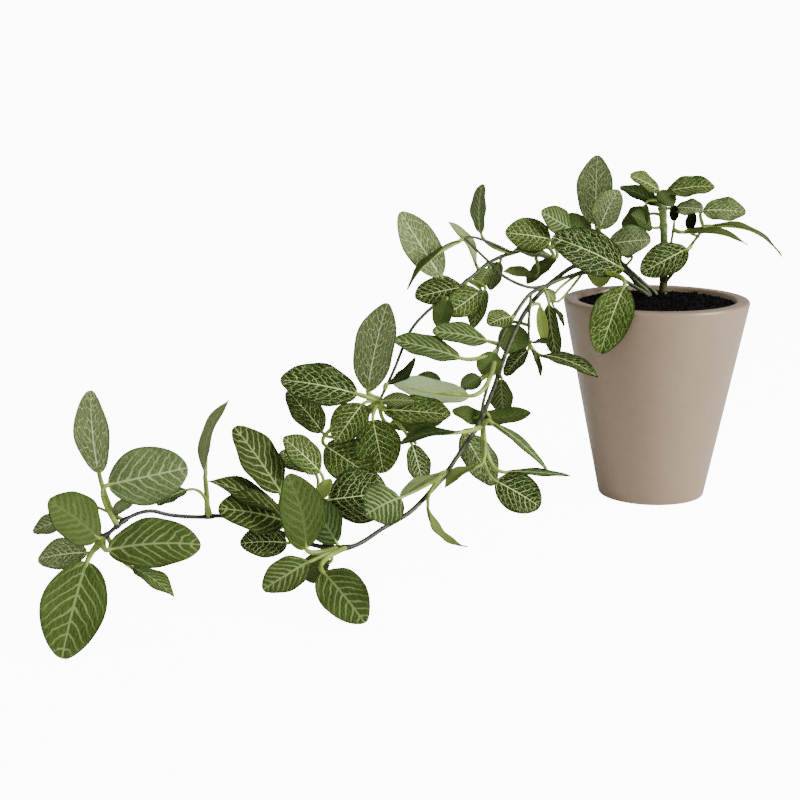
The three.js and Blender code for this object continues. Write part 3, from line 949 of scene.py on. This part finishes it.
wander_place = add_node(
    veins, "CombineXYZ", {0: product(along, 7.0), 1: product(sideways, 2.2), 2: product(seed, 37.0)}
)
wander = add_node(veins, "TexNoise", {"Vector": wander_place.outputs[0], "Scale": 1.0, "Detail": 2.0})
drift = product(calc("SUBTRACT", wander.outputs[0], 0.5), 0.11)
curve = calc("MULTIPLY_ADD", reach, CURL, SWEEP)
sweep = calc("SUBTRACT", calc("ADD", along, drift), product(reach, curve))
bands = product(sweep, PAIRS)
offset = calc("ABSOLUTE", calc("SUBTRACT", calc("FRACT", bands), 0.5))
# Side veins slant, so the way across one is about two thirds of the way along the midrib.
vein_gap = product(calc("SUBTRACT", 0.5, offset), product(length, 0.66 / PAIRS))

vein_half = product(calc("MULTIPLY_ADD", side, -0.05, 0.06), thick)
vein_edge = calc("ADD", vein_half, soft)
lateral = step_of(vein_gap, vein_half, vein_edge, 1.0, 0.0)
rib_half = product(calc("MULTIPLY_ADD", along, -0.34, 0.38), thick)
rib = step_of(from_midrib, rib_half, calc("ADD", rib_half, soft), 1.0, 0.0)
inner = step_of(side, 0.86, 0.97, 1.0, 0.0)
fade = step_of(side, 0.2, 1.0, 0.95, 0.45)
main = calc("MAXIMUM", product(lateral, product(inner, fade)), rib)

cell_along = calc("MULTIPLY_ADD", seed, 31.0, product(bands, 1.6))
cell_across = calc("MULTIPLY_ADD", calc("SIGN", sideways), 9.0, product(from_midrib, 0.4))
cell_place = add_node(veins, "CombineXYZ", {0: cell_along, 1: cell_across})
cells = add_node(
    veins,
    "TexVoronoi",
    {"Vector": cell_place.outputs[0], "Scale": 1.0, "Randomness": 0.85},
    voronoi_dimensions="2D",
    feature="DISTANCE_TO_EDGE",
)
net_half = calc("MULTIPLY_ADD", thick, 0.05, -0.045)
net_edge = calc("ADD", net_half, calc("MULTIPLY_ADD", soft, 0.08, 0.03))
net = product(inner, step_of(cells.outputs["Distance"], net_half, net_edge, 1.0, 0.0))
near_vein = step_of(vein_gap, 0.2, 2.0, 1.0, 0.0)
glow = calc("MAXIMUM", near_vein, step_of(from_midrib, 0.3, 3.2, 1.0, 0.0))
swell = product(step_of(cells.outputs["Distance"], 0.0, 0.3), calc("SUBTRACT", 1.0, main))
margin = step_of(side, 0.93, 0.985)
for socket, value in zip(veins_out.inputs, (main, net, glow, swell, margin)):
    feed(veins, socket, value)

# %% [markdown]
# ## The face and the back of a leaf
# The face is a deep green that differs from leaf to leaf, with pale green veins and a thin
# dark margin; the difference is partly the leaf's own tone and partly painted light and
# shade. A light leaf has broader and creamier veins, and weak veins are blurred too.
# The back is paler and greyer, with veins that stand up instead of lying in. Both hardly
# shine. One function makes the two finishes from the shared pattern.

# %% Make the leaf finishes


def leaf_finish(name, dark, middle, pale, vein, strength, relief):
    material, tree, shader = new_material(name, middle)
    calc = partial(work, tree)
    product = partial(times, tree)
    mix = partial(blend_colour, tree)
    show, tone_and_painted_light, warm = read_mark(tree, "look")
    soft = calc("MULTIPLY_ADD", show, -1.5, 1.6)
    clear = calc("POWER", show, 1.6)
    fine = ramp(tree, show, 0.6, 0.95, 0.15, 0.6)
    thick = calc("MULTIPLY_ADD", calc("MAXIMUM", tone_and_painted_light, 0.0), 0.75, 1.0)
    pattern = add_node(tree, "Group", {"Thick": thick, "Soft": soft}, node_tree=veins)
    main, net, glow, swell, margin = pattern.outputs
    seed = read_mark(tree, "measure")[2]
    blotch, blotch_height = place_flecks(tree, 70, 0.35, 0.7)
    tone = calc("MULTIPLY_ADD", seed, 0.55, product(blotch, 0.45))
    ground = mix(tone, dark, middle)
    # A positive lightness lifts the ground towards pale green: the leaf's own tone, and on a few leaves
    # in shade, painted light.
    ground = mix(calc("MAXIMUM", tone_and_painted_light, 0.0), ground, pale)
    ground = mix(product(warm, 0.55), ground, linear(168, 188, 74))
    # A negative lightness sinks the ground towards near black: the leaf's own dark tone, and on leaves in
    # shade, painted shade.
    dark_tone_and_shade = calc("MAXIMUM", product(tone_and_painted_light, -1.0), 0.0)
    ground = mix(dark_tone_and_shade, ground, linear(10, 20, 0))
    ground = mix(product(glow, product(show, 0.12)), ground, linear(90, 116, 40))
    lines = calc("MAXIMUM", main, product(net, fine))
    lines = product(lines, product(clear, strength), clamp=True)
    cream = mix(calc("MAXIMUM", tone_and_painted_light, 0.0), vein, linear(246, 254, 206))
    colour = mix(lines, ground, mix(clear, pale, cream))
    colour = mix(product(margin, 0.55), colour, linear(48, 58, 34))
    set_surface(tree, shader, colour, ramp(tree, blotch_height, 0.3, 0.7, 0.40, 0.52), 0.05)
    add_bump(tree, shader, swell, 0.55, relief)
    return material


leaf_face = leaf_finish(
    "leaf_face",
    dark=linear(26, 42, 4), middle=linear(46, 68, 16), pale=linear(130, 150, 96),
    vein=linear(208, 230, 154), strength=0.95, relief=0.0005,
)
leaf_back = leaf_finish(
    "leaf_back",
    dark=linear(110, 132, 88), middle=linear(136, 156, 110), pale=linear(166, 182, 150),
    vein=linear(196, 208, 150), strength=0.6, relief=-0.0004,
)

# %% [markdown]
# ## Lay out the blades
# The bent copies of a stem are joined into one piece. A Solidify modifier then gives the
# sheets their 0.6 mm, half to each side, and hands the back of each blade the second
# finish. On a leaf that shows its back the faces point the other way, so the two finishes
# change sides.

# %% Make the blades of each stem
BLADE = 0.0006


def make_blades(stem):
    blades = join_all([bend_copy(leaf) for leaf in stem.leaves])
    blades.data.materials.append(leaf_face)
    blades.data.materials.append(leaf_back)
    skin = blades.modifiers.new("skin", "SOLIDIFY")
    skin.thickness = BLADE
    skin.offset = 0
    skin.material_offset = 1
    bpy.ops.object.modifier_apply(modifier="skin")
    bpy.ops.object.shade_smooth_by_angle(angle=math.radians(60))
    finish_piece(blades, stem.name.replace("stem", "blades"), stem.name)


for stem in stems:
    make_blades(stem)
bpy.data.objects.remove(blank)

# %% [markdown]
# ## Shoots and leaf stalks
# Shoots are round wiry canes with a swollen joint wherever a leaf grows. A leaf stalk is
# paler and softer, widest at the joint, and runs on under the blade as the raised midrib.
# Both are drawn as curves with a thickness at each point, the plain way to make a tube that
# tapers, and are then turned into meshes.

# %% Draw tubes with a thickness at each point


def draw_tubes(stem, kind, runs, roundness, finish):
    """Makes a piece of tubes. A run is an array of points and one of radii, in metres."""
    curve = bpy.data.curves.new(kind, "CURVE")
    curve.dimensions = "3D"
    curve.bevel_depth = 0.001
    curve.bevel_resolution = roundness
    curve.use_fill_caps = True
    for points, radii in runs:
        spline = curve.splines.new("POLY")
        spline.points.add(len(points) - 1)
        spline.points.foreach_set("co", np.column_stack([points, np.ones(len(points))]).ravel())
        spline.points.foreach_set("radius", np.asarray(radii) / 0.001)
        spline.use_smooth = True
    select_only(add_object(kind, curve))
    bpy.ops.object.convert(target="MESH")
    tubes = bpy.context.object
    tubes.data.materials.clear()
    tubes.data.materials.append(finish)
    finish_piece(tubes, stem.name.replace("stem", kind), stem.name)


TAPER = 0.35
KNOB = 0.28
KNOB_LENGTH = 0.0022
THICKEST = 0.62
ON_SHOOT = 0.0015


def shoot_run(stem, thick, run):
    """A cane that narrows towards its end and swells at each joint."""
    share = np.linspace(0, 1, len(run))
    radii = thick / 2 * (1 - TAPER * share ** 3)
    for leaf in stem.leaves:
        gap = np.linalg.norm(run - np.array(leaf.start), axis=1)
        if gap.min() < ON_SHOOT:
            radii = radii * (1 + KNOB * np.exp(-((gap / KNOB_LENGTH) ** 2)))
    return run, np.minimum(radii, THICKEST * thick)


STALK_POINTS = 12
RIB_POINTS = 16
USUAL_LENGTH = 0.034
STALK_RADII = (0.0015, 0.0011)
RIB_RADII = (0.0011, 0.00025)


def stalk_run(leaf):
    """A leaf stalk and the rib under its blade."""
    stalk = leaf.stalk(STALK_POINTS)
    t = np.linspace(0.03, 0.9, RIB_POINTS)
    rib, ahead = leaf.midrib(t)
    under = np.cross(np.array(leaf.side), ahead)
    if leaf.look.turned:
        under = -under
    stout = 0.5 + 0.5 * min(1.7, leaf.length / USUAL_LENGTH)
    stalk_radii = np.linspace(*STALK_RADII, STALK_POINTS) * stout
    rib_radii = np.linspace(*RIB_RADII, RIB_POINTS) * stout
    sink = np.minimum(1, 0.25 + t / 0.3)
    rib = rib - under * (sink * (rib_radii + 0.0001))[:, None]
    return np.concatenate([stalk, rib]), np.concatenate([stalk_radii, rib_radii])


# %% [markdown]
# ## The finish of the stalks
# Shoots are dull olive near the pot and almost black further out, with fine streaks along
# them. The thick upright one is a lighter green, painted darker near the soil as shade.
# Stalks are a bright yellow-green, darker here and there.

# %% Make the shoots and stalks


def cane_finish(name, axis, start, end, young, old_and_shaded):
    """Streaked bark that goes from two young colours to two darker ones along an axis."""
    material, tree, shader = new_material(name, young[0])
    place = add_node(tree, "TexCoord")
    split = add_node(tree, "SeparateXYZ", {0: place.outputs["Object"]})
    age_and_shade = ramp(tree, split.outputs[axis], start, end, 0.0, 1.0)
    streaks, streak_height = place_flecks(tree, 420, 0.4, 0.62, (0.35, 0.35, 1))
    young_colour = blend_colour(tree, streaks, *young)
    old_and_shaded_colour = blend_colour(tree, streaks, *old_and_shaded)
    set_surface(tree, shader, blend_colour(tree, age_and_shade, young_colour, old_and_shaded_colour), 0.5)
    add_bump(tree, shader, streak_height, 0.4, 0.0004)
    return material


cane = cane_finish(
    "cane", axis=0, start=-0.02, end=-0.26,
    young=(linear(44, 54, 22), linear(78, 88, 44)),
    old_and_shaded=(linear(26, 22, 16), linear(46, 42, 30)),
)
# Painted shade: the upright cane turns to its darker colours low down, near the soil, where it stands in
# shade.
upright_cane = cane_finish(
    "upright_cane", axis=2, start=0.182, end=0.152,
    young=(linear(92, 116, 46), linear(128, 150, 76)),
    old_and_shaded=(linear(46, 46, 20), linear(74, 74, 34)),
)

stalk_green, tree, shader = new_material("stalk_green", linear(146, 172, 66))
tints, tint_height = place_flecks(tree, 90, 0.4, 0.65)
colour = blend_colour(tree, tints, linear(112, 134, 52), linear(156, 176, 78))
set_surface(tree, shader, colour, 0.42)
add_bump(tree, shader, tint_height, 0.15, 0.0003)

for stem in stems:
    shoot_runs = [shoot_run(stem, thick, run) for thick, run in stem.shoots]
    draw_tubes(stem, "canes", shoot_runs, 4, upright_cane if stem is tuft else cane)
    stalk_runs = [stalk_run(leaf) for leaf in stem.leaves]
    draw_tubes(stem, "stalks", stalk_runs, 2, stalk_green)

# %% [markdown]
# ## The table and the light
# The plant stands on a plain white surface that runs up behind it without a corner, as a
# sheet of paper does in a small studio. The paper glows for the camera alone, so it looks
# overexposed but lights nothing. The light is an even room and three broad soft lamps: a
# strong one from the right, which gives the pot its lighter side, and weak ones from the
# front and from above.

# %% Set the stage
PAPER_SIDE = 9
PAPER_RISE = 6
PAPER_BEND = 2.5
PAPER_GLOW = 11.0

bpy.ops.mesh.primitive_plane_add(size=PAPER_SIDE, location=(0, 0, 0))
paper = bpy.context.object
paper.name = "paper"
pick_edges(paper, lambda point: point.y > PAPER_SIDE / 3)
bpy.ops.mesh.extrude_region_move(TRANSFORM_OT_translate={"value": (0, 0, PAPER_RISE)})
set_mode("OBJECT")
pick_edges(paper, lambda point: point.y > PAPER_SIDE / 3 and point.z < PAPER_RISE / 2)
bpy.ops.mesh.bevel(offset=PAPER_BEND, segments=16, affect="EDGES")
set_mode("OBJECT")
bpy.ops.object.shade_smooth()
white, tree, shader = new_material("white_paper", linear(248, 248, 248))
set_surface(tree, shader, (0.93, 0.93, 0.93, 1), 1.0, 0.0)
camera_sees = add_node(tree, "LightPath").outputs["Is Camera Ray"]
shader.inputs["Emission Color"].default_value = (1, 1, 1, 1)
feed(tree, shader.inputs["Emission Strength"], times(tree, camera_sees, PAPER_GLOW))
paper.data.materials.append(white)

# %% Light the scene
world = bpy.data.worlds.new("room")
bpy.context.scene.world = world
world.use_nodes = True
room = world.node_tree.nodes["Background"]
room.inputs["Color"].default_value = (1, 1, 1, 1)
room.inputs["Strength"].default_value = 0.3


def add_lamp(name, location, target, size, power):
    aim = (Vector(target) - Vector(location)).to_track_quat("-Z", "Y").to_euler()
    bpy.ops.object.light_add(type="AREA", location=location, rotation=aim)
    lamp = bpy.context.object
    lamp.name = name
    lamp.data.size = size
    lamp.data.energy = power


add_lamp("window", (1.5, -0.75, 0.8), (-0.05, -0.1, 0.1), size=0.8, power=56)
add_lamp("front", (-0.5, -1.7, 0.6), (-0.1, -0.1, 0.1), size=1.2, power=9)
add_lamp("sky", (-0.2, -0.5, 1.9), (-0.1, -0.1, 0), size=1.4, power=5)
